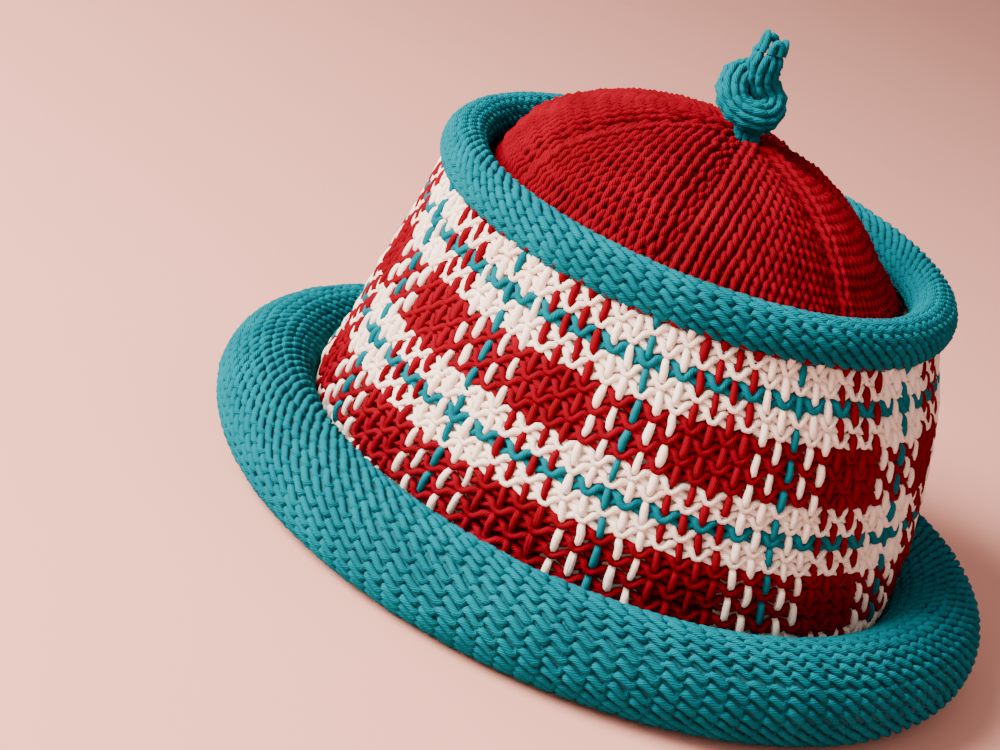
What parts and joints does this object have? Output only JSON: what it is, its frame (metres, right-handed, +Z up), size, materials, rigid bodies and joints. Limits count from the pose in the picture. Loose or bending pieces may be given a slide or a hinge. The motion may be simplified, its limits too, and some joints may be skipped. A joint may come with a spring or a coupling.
{
  "type": "knit hat",
  "caption": "Knitted hat with a wide rolled brim, a plaid side band, a narrower roll round the top, a domed crown and a short knotted cord on top.",
  "frame": {"origin": "centre of the underside of the brim, on the surface that the hat rests on", "axes": "+Z up along the hat's axis, -Y towards the front, the side that the picture shows"},
  "size_m": [0.2482, 0.2549, 0.1665],
  "materials": {
    "teal_wool": "matt hand-knitted wool, teal, purl side out",
    "plaid_wool": "matt slip-stitch knitted plaid in red, cream and teal wool",
    "red_wool": "matt hand-knitted wool, red, plain side out"
  },
  "bodies": {
    "root": {"brim_roll": "teal_wool", "plaid_band": "plaid_wool", "top_roll": "teal_wool", "crown": "red_wool", "knot_cord": "teal_wool"}
  },
  "joints": []
}
